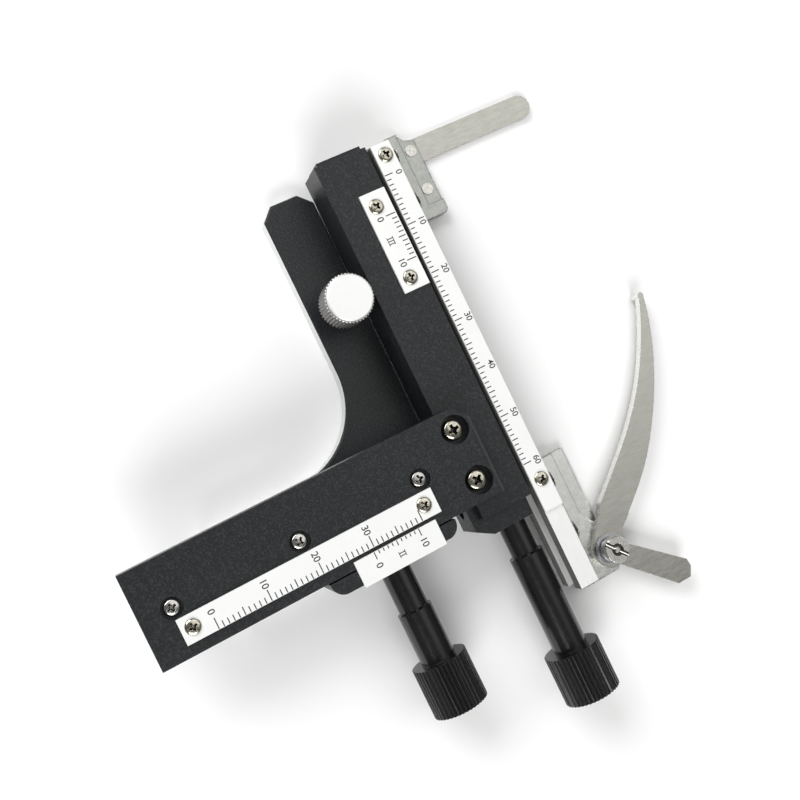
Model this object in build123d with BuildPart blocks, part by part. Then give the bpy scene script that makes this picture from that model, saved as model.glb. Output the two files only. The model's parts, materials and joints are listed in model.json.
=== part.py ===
from build123d import *
import os
from math import cos, degrees, pi, radians, sin, sqrt, tan

# Attachable mechanical stage of a microscope: a base that clamps to the fixed stage, a Y slide
# on a rack and pinion, an X slide on a lead screw, and a spring finger that holds the glass slide.
# All sizes are in millimetres. The origin is on the underside of the base, below the axis of the
# Y drive; +X runs along the long scale (0 to 60), +Y along the short scale (0 to 40), +Z is up.

os.makedirs("parts", exist_ok=True)

# Base plate: a foot under the Y guide and a tongue that the thumb screw clamps
BASE_T = 4.0
FOOT_X0 = -7.8
FOOT_X1 = 10.5
FOOT_Y0 = -28.8
TONGUE_X0 = -58.2
TONGUE_Y0 = 7.5
TONGUE_Y1 = 18.2
TONGUE_CHAMFER = 2.5
BASE_BEND_R = 16.0
EDGE_BREAK = 0.25

# Thumb screw that clamps the stage
CLAMP_X = -35.0
CLAMP_Y = 12.9
CLAMP_SHANK_R = 2.0
CLAMP_HEAD_R = 4.7
CLAMP_HEAD_H = 7.3
CLAMP_HEAD_LIFT = 6.0
CLAMP_WASHER_R = 4.2
CLAMP_WASHER_T = 0.8
CLAMP_FLUTES = 40

# Clearances between parts that slide or turn on each other
RUN_GAP = 0.05
BAR_GAP = 0.2

# Y drive: pinion in the guide block, rack under the Y bar
GEAR_MODULE = 0.5
PINION_TEETH = 12
PINION_LENGTH = 5.0
TOOTH_HALF = 0.30
PRESSURE_ANGLE = 20
SHAFT_R = 1.25
DRIVE_HEIGHT = 5.0

# Guide block and the cheek that carries the Y vernier
BLOCK_X1 = 12.1
BLOCK_Y0 = -13.4
BLOCK_Y1 = 12.1
CHEEK_T = 2.8
CHEEK_R = 2.5
CHEEK_RISE = 4.3

# Dovetail rail of the Y slide
RAIL_H = 2.5
RAIL_ROOT_HALF = 3.5
RAIL_NOSE_HALF = 5.0
RAIL_Y0 = -44.0
RAIL_Y1 = 14.0
RACK_W = 5.0
RACK_SINK = 1.2

# Y bar
Y_BAR_HALF = 9.0
Y_BAR_T = 4.0
Y_BAR_Y0 = -44.9
Y_BAR_Y1 = 23.3
Y_BAR_CORNER = 3.0
Y_BAR_BEVEL = 0.7

# Scale plates and verniers
PLATE_T = 0.5
Y_SCALE_X0 = 2.1
Y_SCALE_X1 = 6.9
Y_SCALE_Y0 = -39.4
Y_SCALE_Y1 = 10.4
Y_VERNIER_X0 = 7.65
Y_VERNIER_X1 = 12.55
Y_VERNIER_Y0 = -8.05
Y_VERNIER_Y1 = 8.65
X_VERNIER_X0 = -51.3
X_VERNIER_X1 = -31.5
X_VERNIER_W = 5.3
X_SCALE_X1 = 16.9
PLATE_HEAD_R = 1.45
PLATE_HEAD_H = 0.5
PLATE_SHANK_R = 0.8
PLATE_SHANK_L = 2.5

# X bar: an inverted channel across the +Y end of the Y bar, with a dovetail rail on its far side
X_BAR_X0 = -59.5
X_BAR_X1 = 12.6
X_BAR_Y0 = 18.1
X_BAR_W = 10.7
X_BAR_H = 10.0
X_CAVITY_W = 6.0
X_END_WALL = 2.2
X_ROOF_T = 1.8
LEAD_DEPTH = 5.0
LEAD_INSET = 6.1
LEAD_R = 1.5
X_RAIL_ROOT_HALF = 1.4
X_RAIL_NOSE_HALF = 2.1
X_RAIL_REACH = 2.2
X_RAIL_SINK = 0.6

# Slider, which carries the X scale and both slide holders
SLIDER_X0 = -59.0
SLIDER_X1 = 33.2
SLIDER_GAP = 0.8
SLIDER_W = 3.9
SLIDER_H = 8.9
NUT_X = -0.5
NUT_L = 6.0

# Slide holders: two low brackets with a common straight edge that locates the glass slide
HOLDER_Z0 = 0.2
FOOT_T = 2.2
LEDGE_DROP = 0.8
LEDGE_W = 2.8
FLANGE_T = 1.8
FLANGE_H = 9.8
HOLDER_REACH = 9.9
FINGER_X0 = -60.1
FINGER_W = 5.0
FINGER_T = 0.8
FINGER_LENGTH = 26.9

# Spring finger and its pivot
PIVOT_X = 32.0
PIVOT_INSET = 0.8
HUB_R = 3.8
PIN_R = 2.0
POST_R = 1.6
CAP_R = 2.7
CAP_H = 0.7
POST_H = 4.9
ARM_TOP = 3.9
ARM_T = 1.9
SPRING_R = 2.3
WIRE_R = 0.25

# Drive knobs
KNOB_NECK_R = 3.4
Y_KNOB_R = 5.45
X_KNOB_R = 5.6
KNOB_FLUTES = 40
FLUTE_R = 0.32
TUBE_R = 2.9
X_TUBE_R = 2.7

# Heights of the stacked pieces, worked out from the sizes above
drive_z = BASE_T + DRIVE_HEIGHT
pitch_r = GEAR_MODULE * PINION_TEETH / 2
rail_z = drive_z + pitch_r
bar_z = rail_z + RAIL_H
bar_top = bar_z + Y_BAR_T
block_top = bar_z - BAR_GAP
cheek_top = block_top + CHEEK_RISE
lead_z = bar_z - LEAD_DEPTH
slider_z = bar_z - SLIDER_H
clamp_head_z = BASE_T + CLAMP_HEAD_LIFT
foot_top = HOLDER_Z0 + FOOT_T
ledge_top = foot_top - LEDGE_DROP
arm_z = ARM_TOP - ARM_T
hub_z = foot_top + RUN_GAP

# Positions across the stage
x_bar_y1 = X_BAR_Y0 + X_BAR_W
lead_y = X_BAR_Y0 + LEAD_INSET
cavity_y0 = lead_y - X_CAVITY_W / 2
cavity_y1 = lead_y + X_CAVITY_W / 2
cavity_x0 = X_BAR_X0 + X_END_WALL
cavity_x1 = X_BAR_X1 - 2.8
cavity_top = bar_z - X_ROOF_T
slider_y0 = x_bar_y1 + SLIDER_GAP
slider_y1 = slider_y0 + SLIDER_W
flange_y1 = slider_y1 + FLANGE_T
datum_y = slider_y1 + HOLDER_REACH
pivot_y = datum_y - PIVOT_INSET
x_rail_z = bar_z - 4.5
vernier_x_y1 = x_bar_y1 - 0.15
cheek_x0 = BLOCK_X1 - CHEEK_T

# Screw positions, as pairs along X and Y
RAIL_SCREWS = [(0, -39.0), (0, -14.8), (0, 9.5)]
CROSS_SCREWS = [(-5.1, X_BAR_Y0 + 1.4), (5.1, X_BAR_Y0 + 1.4)]
Y_SCALE_SCREWS = [(4.4, Y_SCALE_Y0 + 2.15), (4.4, Y_SCALE_Y1 - 2.44)]
X_VERNIER_SCREWS = [(X_VERNIER_X0 + 2.9, x_bar_y1 - 3.2), (X_VERNIER_X1 - 2.4, x_bar_y1 - 3.2)]
X_SCALE_SCREWS = [(SLIDER_X0 + 2.4, slider_y0 + 2.1), (X_SCALE_X1 - 6.0, slider_y0 + 2.1)]
GUIDE_SCREWS = [(-5.2, -10.0), (-5.2, 9.0), (7.4, -10.0), (7.4, 9.0)]
HOLDER_SCREWS_X = [-57.0, -47.5, 13.0, 24.0]
FINGER_RIVETS = [(FINGER_X0 + 2.2, datum_y - 1.6), (FINGER_X0 + 10.5, datum_y - 1.9)]

DOWN = (Align.CENTER, Align.CENTER, Align.MAX)
UP = (Align.CENTER, Align.CENTER, Align.MIN)


def headed_screws(points, seat, head_r, head_h, shank_r, length, mode=Mode.ADD):
    """Round heads standing on the level of the seat, with shanks going down."""
    with Locations(*[(x, y, seat) for x, y in points]):
        Cylinder(head_r, head_h, align=UP, mode=mode)
        Cylinder(shank_r, length, align=DOWN, mode=mode)


def box_between(x0, x1, y0, y1, z0, z1, mode=Mode.ADD):
    """A block given by its limits along the three axes."""
    with BuildSketch(Plane.XY.offset(z0)) as section:
        with Locations(((x0 + x1) / 2, (y0 + y1) / 2)):
            Rectangle(x1 - x0, y1 - y0)
    extrude(section.sketch, amount=z1 - z0, mode=mode)


def rod_along_x(x0, x1, y, z, radius, mode=Mode.ADD):
    """A round rod or bore along X."""
    with BuildSketch(Plane.YZ.offset(x0)) as section:
        with Locations((y, z)):
            Circle(radius)
    extrude(section.sketch, amount=x1 - x0, mode=mode)


def fluted_grip(x0, x1, y, z, radius, flutes):
    """A round grip along X with fine flutes around its rim."""
    with BuildSketch(Plane.YZ.offset(x0)) as section:
        with Locations((y, z)):
            Circle(radius)
            with PolarLocations(radius, flutes):
                RegularPolygon(FLUTE_R, 4, mode=Mode.SUBTRACT)
    extrude(section.sketch, amount=x1 - x0)


# Base plate
with BuildPart() as base_plate:
    with BuildSketch() as base_outline:
        with Locations(((FOOT_X0 + FOOT_X1) / 2, (FOOT_Y0 + TONGUE_Y1) / 2)):
            Rectangle(FOOT_X1 - FOOT_X0, TONGUE_Y1 - FOOT_Y0)
        with Locations(((TONGUE_X0 + FOOT_X1) / 2, (TONGUE_Y0 + TONGUE_Y1) / 2)):
            Rectangle(FOOT_X1 - TONGUE_X0, TONGUE_Y1 - TONGUE_Y0)
        bend = base_outline.vertices().sort_by_distance((FOOT_X0, TONGUE_Y0, 0))[0]
        fillet(bend, BASE_BEND_R)
        tongue_end = base_outline.vertices().group_by(Axis.X)[0]
        chamfer(tongue_end, TONGUE_CHAMFER)
        foot_end = base_outline.vertices().group_by(Axis.Y)[0]
        fillet(foot_end, 1.0)
    extrude(amount=BASE_T)
    chamfer(base_plate.faces().sort_by(Axis.Z)[-1].edges(), EDGE_BREAK)
    with Locations((CLAMP_X, CLAMP_Y, BASE_T)):
        Hole(CLAMP_SHANK_R + RUN_GAP)
    with Locations(*[(x, y, 0) for x, y in GUIDE_SCREWS]):
        Cone(2.6, SHAFT_R, 1.35, align=UP, mode=Mode.SUBTRACT)
        Cylinder(SHAFT_R, BASE_T, align=UP, mode=Mode.SUBTRACT)
base_plate.part.label = "base_plate"
export_step(base_plate.part, "parts/base_plate.step")

# Guide block: dovetail channel for the Y rail, pinion pocket below it, cheek beside the Y bar
channel_slope = (RAIL_NOSE_HALF - RAIL_ROOT_HALF) / RAIL_H
channel_side = RUN_GAP * sqrt(1 + channel_slope**2)
channel_floor = rail_z - RUN_GAP
channel_floor_half = RAIL_NOSE_HALF + RUN_GAP * channel_slope + channel_side
channel_top_half = RAIL_ROOT_HALF + BAR_GAP * channel_slope + channel_side
pocket_r = pitch_r + 0.8
pocket_half = PINION_LENGTH / 2 + 0.5
with BuildPart() as y_guide_block:
    box_between(FOOT_X0, BLOCK_X1, BLOCK_Y0, BLOCK_Y1, BASE_T, block_top)
    box_between(cheek_x0, BLOCK_X1, BLOCK_Y0, BLOCK_Y1, block_top, cheek_top)
    fillet(y_guide_block.edges().filter_by(Axis.Z).group_by(Axis.X)[-1], CHEEK_R)
    with BuildSketch(Plane.XZ) as channel_section:
        with BuildLine():
            Polyline(
                (-channel_top_half, block_top),
                (-channel_floor_half, channel_floor),
                (channel_floor_half, channel_floor),
                (channel_top_half, block_top),
                close=True,
            )
        make_face()
        with Locations((0, channel_floor)):
            Rectangle(RACK_W + 0.6, 1.5)
    extrude(amount=BLOCK_Y1 - BLOCK_Y0, both=True, mode=Mode.SUBTRACT)
    rod_along_x(-pocket_half, pocket_half, 0, drive_z, pocket_r, mode=Mode.SUBTRACT)
    rod_along_x(FOOT_X0 + 1.3, 0, 0, drive_z, SHAFT_R + RUN_GAP, mode=Mode.SUBTRACT)
    rod_along_x(0, BLOCK_X1, 0, drive_z, TUBE_R - 0.6, mode=Mode.SUBTRACT)
    with Locations(*[(x, y, BASE_T) for x, y in GUIDE_SCREWS]):
        Cylinder(SHAFT_R, 5.0, align=UP, mode=Mode.SUBTRACT)
y_guide_block.part.label = "y_guide_block"
export_step(y_guide_block.part, "parts/y_guide_block.step")

# Countersunk screws from below that hold the guide block
with BuildPart() as guide_screws:
    with Locations(*[(x, y, 0) for x, y in GUIDE_SCREWS]):
        Cone(2.6, SHAFT_R, 1.35, align=UP)
        Cylinder(SHAFT_R, BASE_T + 5.0, align=UP)
guide_screws.part.label = "guide_screws"
export_step(guide_screws.part, "parts/guide_screws.step")

# Fixed bearing tube of the Y drive, stepped where it enters the block
y_tube_end = BLOCK_X1 + 9.7
with BuildPart() as y_bearing_tube:
    rod_along_x(pocket_half, BLOCK_X1, 0, drive_z, TUBE_R - 0.6)
    rod_along_x(BLOCK_X1, y_tube_end, 0, drive_z, TUBE_R)
    rod_along_x(pocket_half, y_tube_end, 0, drive_z, SHAFT_R + RUN_GAP, mode=Mode.SUBTRACT)
y_bearing_tube.part.label = "y_bearing_tube"
export_step(y_bearing_tube.part, "parts/y_bearing_tube.step")

# Vernier plate of the Y scale, on top of the cheek and reaching over the edge of the Y bar
with BuildPart() as vernier_y:
    box_between(Y_VERNIER_X0, Y_VERNIER_X1, Y_VERNIER_Y0, Y_VERNIER_Y1, cheek_top, cheek_top + PLATE_T)
vernier_y.part.label = "vernier_y"
export_step(vernier_y.part, "parts/vernier_y.step")

# Y bar
with BuildPart() as y_bar:
    with BuildSketch(Plane.XY.offset(bar_z)) as y_bar_outline:
        with Locations((0, (Y_BAR_Y0 + Y_BAR_Y1) / 2)):
            Rectangle(2 * Y_BAR_HALF, Y_BAR_Y1 - Y_BAR_Y0)
        corner = y_bar_outline.vertices().sort_by_distance((-Y_BAR_HALF, Y_BAR_Y1, bar_z))[0]
        chamfer(corner, Y_BAR_CORNER)
    extrude(amount=Y_BAR_T)
    top_edges = y_bar.faces().sort_by(Axis.Z)[-1].edges()
    chamfer(top_edges.sort_by(Axis.Y)[-1], Y_BAR_BEVEL)
    headed_screws(RAIL_SCREWS, bar_top - 1.2, 2.0, 1.2, 1.0, Y_BAR_T, mode=Mode.SUBTRACT)
    headed_screws(CROSS_SCREWS, bar_top - 2.2, 2.75, 2.2, SHAFT_R, Y_BAR_T, mode=Mode.SUBTRACT)
    headed_screws(Y_SCALE_SCREWS, bar_top, 0.9, 0.1, PLATE_SHANK_R, PLATE_SHANK_L, mode=Mode.SUBTRACT)
y_bar.part.label = "y_bar"
export_step(y_bar.part, "parts/y_bar.step")

# Dovetail rail screwed under the Y bar, grooved for the rack
rail_screw_end = rail_z + RACK_SINK + 0.2
with BuildPart() as y_rail:
    with BuildSketch(Plane.XZ.offset(-RAIL_Y1)):
        with BuildLine():
            Polyline(
                (-RAIL_ROOT_HALF, bar_z),
                (-RAIL_NOSE_HALF, rail_z),
                (RAIL_NOSE_HALF, rail_z),
                (RAIL_ROOT_HALF, bar_z),
                close=True,
            )
        make_face()
        with Locations((0, rail_z)):
            Rectangle(RACK_W, 2 * RACK_SINK, mode=Mode.SUBTRACT)
    extrude(amount=RAIL_Y1 - RAIL_Y0)
    with Locations(*[(x, y, bar_z) for x, y in RAIL_SCREWS]):
        Cylinder(1.0, bar_z - rail_screw_end, align=DOWN, mode=Mode.SUBTRACT)
y_rail.part.label = "y_rail"
export_step(y_rail.part, "parts/y_rail.step")

# Rack let into the rail, with a tooth gap above the pinion at rest
tooth_pitch = GEAR_MODULE * pi
flank = tan(radians(PRESSURE_ANGLE))
rack_root = rail_z + 1.25 * GEAR_MODULE
root_half = TOOTH_HALF + 1.25 * GEAR_MODULE * flank
tip_half = TOOTH_HALF - GEAR_MODULE * flank
first_tooth = int((RAIL_Y0 + root_half) / tooth_pitch)
last_tooth = int((RAIL_Y1 - root_half) / tooth_pitch)
with BuildPart() as y_rack:
    box_between(-RACK_W / 2, RACK_W / 2, RAIL_Y0, RAIL_Y1, rack_root, rail_z + RACK_SINK)
    with BuildSketch(Plane.YZ):
        with Locations(*[((k + 0.5) * tooth_pitch, rack_root) for k in range(first_tooth, last_tooth)]):
            with BuildLine(mode=Mode.PRIVATE) as tooth_line:
                Polyline(
                    (-root_half, 0),
                    (-tip_half, -2.25 * GEAR_MODULE),
                    (tip_half, -2.25 * GEAR_MODULE),
                    (root_half, 0),
                    close=True,
                )
            add(make_face(tooth_line.line.edges(), mode=Mode.PRIVATE))
    extrude(amount=RACK_W / 2, both=True)
y_rack.part.label = "y_rack"
export_step(y_rack.part, "parts/y_rack.step")

# Screws of the rail, sunk into the Y bar
with BuildPart() as y_rail_screws:
    headed_screws(RAIL_SCREWS, bar_top - 1.2, 1.5, 0.75, 1.0, bar_top - 1.2 - rail_screw_end)
y_rail_screws.part.label = "y_rail_screws"
export_step(y_rail_screws.part, "parts/y_rail_screws.step")

# Y scale plate and its screws
with BuildPart() as y_scale:
    box_between(Y_SCALE_X0, Y_SCALE_X1, Y_SCALE_Y0, Y_SCALE_Y1, bar_top, bar_top + PLATE_T)
    with Locations(*[(x, y, bar_top + PLATE_T) for x, y in Y_SCALE_SCREWS]):
        Hole(PLATE_SHANK_R)
y_scale.part.label = "y_scale"
export_step(y_scale.part, "parts/y_scale.step")

with BuildPart() as y_scale_screws:
    headed_screws(
        Y_SCALE_SCREWS, bar_top + PLATE_T, PLATE_HEAD_R, PLATE_HEAD_H, PLATE_SHANK_R, PLATE_T + PLATE_SHANK_L
    )
y_scale_screws.part.label = "y_scale_screws"
export_step(y_scale_screws.part, "parts/y_scale_screws.step")

# Two screws that join the Y bar to the X bar
cross_screw_l = Y_BAR_T - 2.2 + 5.0
with BuildPart() as cross_screws:
    headed_screws(CROSS_SCREWS, bar_top - 2.2, 2.0, 1.4, SHAFT_R, cross_screw_l)
    chamfer(cross_screws.faces().group_by(Axis.Z)[-1].edges(), 0.3)
cross_screws.part.label = "cross_screws"
export_step(cross_screws.part, "parts/cross_screws.step")

# X bar: channel open below for the nut, closed ends, a lug under the Y bar for the two screws
with BuildPart() as x_bar:
    box_between(X_BAR_X0, X_BAR_X1, X_BAR_Y0, x_bar_y1, bar_z - X_BAR_H, bar_z)
    box_between(-7.8, 7.8, X_BAR_Y0 - 3.1, X_BAR_Y0, bar_z - X_BAR_H / 2, bar_z)
    box_between(cavity_x0, cavity_x1, cavity_y0, cavity_y1, bar_z - X_BAR_H, cavity_top, mode=Mode.SUBTRACT)
    box_between(cavity_x0, cavity_x1, lead_y, x_bar_y1, bar_z - X_BAR_H, x_rail_z - 2.2, mode=Mode.SUBTRACT)
    box_between(
        X_BAR_X0,
        X_BAR_X1,
        x_bar_y1 - X_RAIL_SINK,
        x_bar_y1,
        x_rail_z - X_RAIL_ROOT_HALF,
        x_rail_z + X_RAIL_ROOT_HALF,
        mode=Mode.SUBTRACT,
    )
    rod_along_x(X_BAR_X0, cavity_x0, lead_y, lead_z, 2.0, mode=Mode.SUBTRACT)
    rod_along_x(cavity_x1, X_BAR_X1, lead_y, lead_z, 2.0, mode=Mode.SUBTRACT)
    with Locations(*[(x, y, bar_z) for x, y in CROSS_SCREWS]):
        Cylinder(SHAFT_R, 5.0, align=DOWN, mode=Mode.SUBTRACT)
    with Locations(*[(x, y, bar_z) for x, y in X_VERNIER_SCREWS]):
        Cylinder(PLATE_SHANK_R, X_ROOF_T, align=DOWN, mode=Mode.SUBTRACT)
    with Locations(Location((10.6, X_BAR_Y0, lead_z - 1.0), (90, 0, 0))):
        Cylinder(1.2, 2.0, align=DOWN, mode=Mode.SUBTRACT)
x_bar.part.label = "x_bar"
export_step(x_bar.part, "parts/x_bar.step")

# Dovetail rail on the far side of the X bar
rail_nose_y = x_bar_y1 + X_RAIL_REACH
with BuildPart() as x_rail:
    with BuildSketch(Plane.YZ.offset(X_BAR_X0)):
        with BuildLine():
            Polyline(
                (x_bar_y1 - X_RAIL_SINK, x_rail_z - X_RAIL_ROOT_HALF),
                (x_bar_y1, x_rail_z - X_RAIL_ROOT_HALF),
                (rail_nose_y, x_rail_z - X_RAIL_NOSE_HALF),
                (rail_nose_y, x_rail_z + X_RAIL_NOSE_HALF),
                (x_bar_y1, x_rail_z + X_RAIL_ROOT_HALF),
                (x_bar_y1 - X_RAIL_SINK, x_rail_z + X_RAIL_ROOT_HALF),
                close=True,
            )
        make_face()
    extrude(amount=X_BAR_X1 - X_BAR_X0)
x_rail.part.label = "x_rail"
export_step(x_rail.part, "parts/x_rail.step")

# Cover under the channel of the X bar
with BuildPart() as x_bar_cover:
    box_between(cavity_x0, cavity_x1, cavity_y0, x_bar_y1, bar_z - X_BAR_H, bar_z - X_BAR_H + 0.7)
x_bar_cover.part.label = "x_bar_cover"
export_step(x_bar_cover.part, "parts/x_bar_cover.step")

# End of the X bar: bush for the lead screw and a thin cap over it
with BuildPart() as x_end_bush:
    rod_along_x(X_BAR_X0, cavity_x0, lead_y, lead_z, 2.0)
    rod_along_x(X_BAR_X0, cavity_x0, lead_y, lead_z, 1.0 + RUN_GAP, mode=Mode.SUBTRACT)
x_end_bush.part.label = "x_end_bush"
export_step(x_end_bush.part, "parts/x_end_bush.step")

with BuildPart() as x_end_cap:
    box_between(X_BAR_X0 - 0.8, X_BAR_X0, X_BAR_Y0 + 1.0, x_bar_y1 - 0.6, bar_z - X_BAR_H + 1.0, bar_z - 1.0)
x_end_cap.part.label = "x_end_cap"
export_step(x_end_cap.part, "parts/x_end_cap.step")

# Vernier plate of the X scale and its screws
with BuildPart() as vernier_x:
    box_between(
        X_VERNIER_X0, X_VERNIER_X1, vernier_x_y1 - X_VERNIER_W, vernier_x_y1, bar_z, bar_z + PLATE_T
    )
    with Locations(*[(x, y, bar_z + PLATE_T) for x, y in X_VERNIER_SCREWS]):
        Hole(PLATE_SHANK_R)
vernier_x.part.label = "vernier_x"
export_step(vernier_x.part, "parts/vernier_x.step")

with BuildPart() as vernier_x_screws:
    headed_screws(
        X_VERNIER_SCREWS, bar_z + PLATE_T, PLATE_HEAD_R, PLATE_HEAD_H, PLATE_SHANK_R, PLATE_T + X_ROOF_T
    )
vernier_x_screws.part.label = "vernier_x_screws"
export_step(vernier_x_screws.part, "parts/vernier_x_screws.step")

# Bearing bracket wrapped around the +X end of the X bar
bracket_top = bar_z - 2.0
bracket_x1 = X_BAR_X1 + 3.8
with BuildPart() as x_bearing_bracket:
    with BuildSketch(Plane.XY.offset(bar_z - X_BAR_H)):
        with BuildLine():
            Polyline(
                (8.2, X_BAR_Y0 - 1.8),
                (bracket_x1 - 1.9, X_BAR_Y0 - 1.8),
                (bracket_x1, X_BAR_Y0 + 1.4),
                (bracket_x1, x_bar_y1 - 0.8),
                (X_BAR_X1, x_bar_y1 - 0.8),
                (X_BAR_X1, X_BAR_Y0),
                (8.2, X_BAR_Y0),
                close=True,
            )
        make_face()
    extrude(amount=bracket_top - bar_z + X_BAR_H)
    rod_along_x(X_BAR_X1, bracket_x1, lead_y, lead_z, X_TUBE_R, mode=Mode.SUBTRACT)
    with Locations(Location((10.6, X_BAR_Y0, lead_z - 1.0), (90, 0, 0))):
        Cylinder(1.2, 1.8, align=UP, mode=Mode.SUBTRACT)
x_bearing_bracket.part.label = "x_bearing_bracket"
export_step(x_bearing_bracket.part, "parts/x_bearing_bracket.step")

# Grub screw that locks the bracket to the X bar
with BuildPart() as bracket_grub_screw:
    with Locations(Location((10.6, X_BAR_Y0 + 2.0, lead_z - 1.0), (90, 0, 0))):
        Cylinder(1.2, 3.0, align=UP)
bracket_grub_screw.part.label = "bracket_grub_screw"
export_step(bracket_grub_screw.part, "parts/bracket_grub_screw.step")

# Fixed bearing tube of the X drive
x_tube_end = bracket_x1 + 6.4
with BuildPart() as x_bearing_tube:
    rod_along_x(X_BAR_X1, x_tube_end, lead_y, lead_z, X_TUBE_R)
    rod_along_x(X_BAR_X1, x_tube_end, lead_y, lead_z, SHAFT_R + RUN_GAP, mode=Mode.SUBTRACT)
x_bearing_tube.part.label = "x_bearing_tube"
export_step(x_bearing_tube.part, "parts/x_bearing_tube.step")

# Slider: a bar with a dovetail groove along its near face
groove_slope = (X_RAIL_NOSE_HALF - X_RAIL_ROOT_HALF) / X_RAIL_REACH
groove_side = RUN_GAP * sqrt(1 + groove_slope**2)
groove_mouth_half = X_RAIL_ROOT_HALF + SLIDER_GAP * groove_slope + groove_side
groove_floor_half = X_RAIL_NOSE_HALF + RUN_GAP * groove_slope + groove_side
groove_floor_y = rail_nose_y + RUN_GAP
arm_z0 = slider_z + 0.3
arm_z1 = slider_z + 1.8
with BuildPart() as slider:
    box_between(SLIDER_X0, SLIDER_X1, slider_y0, slider_y1, slider_z, bar_z)
    with BuildSketch(Plane.YZ.offset(SLIDER_X0)):
        with BuildLine():
            Polyline(
                (slider_y0, x_rail_z - groove_mouth_half),
                (groove_floor_y, x_rail_z - groove_floor_half),
                (groove_floor_y, x_rail_z + groove_floor_half),
                (slider_y0, x_rail_z + groove_mouth_half),
                close=True,
            )
        make_face()
    extrude(amount=SLIDER_X1 - SLIDER_X0, mode=Mode.SUBTRACT)
    box_between(NUT_X - 2.5, NUT_X + 2.5, slider_y0, slider_y0 + 0.8, arm_z0, arm_z1, mode=Mode.SUBTRACT)
    with Locations(*[(x, y, bar_z) for x, y in X_SCALE_SCREWS]):
        Cylinder(PLATE_SHANK_R, 1.5, align=DOWN, mode=Mode.SUBTRACT)
    with Locations(*[Location((x, slider_y1, slider_z + 1.6), (90, 0, 0)) for x in HOLDER_SCREWS_X]):
        Cylinder(1.0, 2.0, align=UP, mode=Mode.SUBTRACT)
slider.part.label = "slider"
export_step(slider.part, "parts/slider.step")

# X scale strip and its screws
with BuildPart() as x_scale:
    box_between(SLIDER_X0, X_SCALE_X1, slider_y0, slider_y1, bar_z, bar_z + PLATE_T)
    with Locations(*[(x, y, bar_z + PLATE_T) for x, y in X_SCALE_SCREWS]):
        Hole(PLATE_SHANK_R)
x_scale.part.label = "x_scale"
export_step(x_scale.part, "parts/x_scale.step")

with BuildPart() as x_scale_screws:
    headed_screws(X_SCALE_SCREWS, bar_z + PLATE_T, PLATE_HEAD_R, PLATE_HEAD_H, PLATE_SHANK_R, PLATE_T + 1.5)
x_scale_screws.part.label = "x_scale_screws"
export_step(x_scale_screws.part, "parts/x_scale_screws.step")

# Nut on the lead screw, with an arm that reaches under the rail to the slider
with BuildPart() as x_drive_nut:
    box_between(
        NUT_X - NUT_L / 2, NUT_X + NUT_L / 2, cavity_y0 + 0.4, cavity_y1 - 0.4, arm_z0, cavity_top - 0.5
    )
    box_between(NUT_X - 2.5, NUT_X + 2.5, cavity_y1 - 0.4, slider_y0 + 0.8, arm_z0, arm_z1)
    rod_along_x(NUT_X - NUT_L / 2, NUT_X + NUT_L / 2, lead_y, lead_z, LEAD_R + RUN_GAP, mode=Mode.SUBTRACT)
x_drive_nut.part.label = "x_drive_nut"
export_step(x_drive_nut.part, "parts/x_drive_nut.step")

# Bracket of the fixed finger: flange on the slider, low foot, ledge along the locating edge
finger_foot_x1 = FINGER_X0 + 16.4
with BuildPart() as finger_bracket:
    with BuildSketch(Plane.XY.offset(HOLDER_Z0)) as finger_foot:
        with BuildLine():
            Polyline(
                (SLIDER_X0, slider_y1),
                (FINGER_X0, slider_y1 + 1.8),
                (FINGER_X0 - 1.8, slider_y1 + 3.8),
                (FINGER_X0 - 1.8, slider_y1 + 6.7),
                (FINGER_X0 - 0.3, datum_y - 2.2),
                (FINGER_X0 + 0.3, datum_y),
                (finger_foot_x1, datum_y),
                (finger_foot_x1, slider_y1),
                close=True,
            )
        make_face()
        fillet(finger_foot.vertices().group_by(Axis.X)[0], 0.9)
        fillet(finger_foot.vertices().sort_by_distance((finger_foot_x1, datum_y, HOLDER_Z0))[0], 1.0)
    extrude(amount=FOOT_T)
    box_between(
        FINGER_X0 - 2.5, FINGER_X0 + 13.6, datum_y - LEDGE_W - 0.6, datum_y + 1, ledge_top, foot_top + 1,
        mode=Mode.SUBTRACT,
    )
    box_between(
        FINGER_X0 - 2.5,
        FINGER_X0 + 13.6,
        datum_y - LEDGE_W - 0.6,
        datum_y + 1,
        HOLDER_Z0,
        HOLDER_Z0 + FINGER_T,
        mode=Mode.SUBTRACT,
    )
    box_between(SLIDER_X0, finger_foot_x1, slider_y1, flange_y1, HOLDER_Z0, HOLDER_Z0 + FLANGE_H)
    with Locations(*[Location((x, flange_y1, slider_z + 1.6), (90, 0, 0)) for x in HOLDER_SCREWS_X[:2]]):
        Cylinder(1.0, FLANGE_T, align=UP, mode=Mode.SUBTRACT)
        Cone(1.0, 1.9, 0.9, align=UP, mode=Mode.SUBTRACT, rotation=(180, 0, 0))
    with Locations(*[(x, y, ledge_top) for x, y in FINGER_RIVETS]):
        Cylinder(0.8, FOOT_T, align=DOWN, mode=Mode.SUBTRACT)
finger_bracket.part.label = "finger_bracket"
export_step(finger_bracket.part, "parts/finger_bracket.step")

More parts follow.
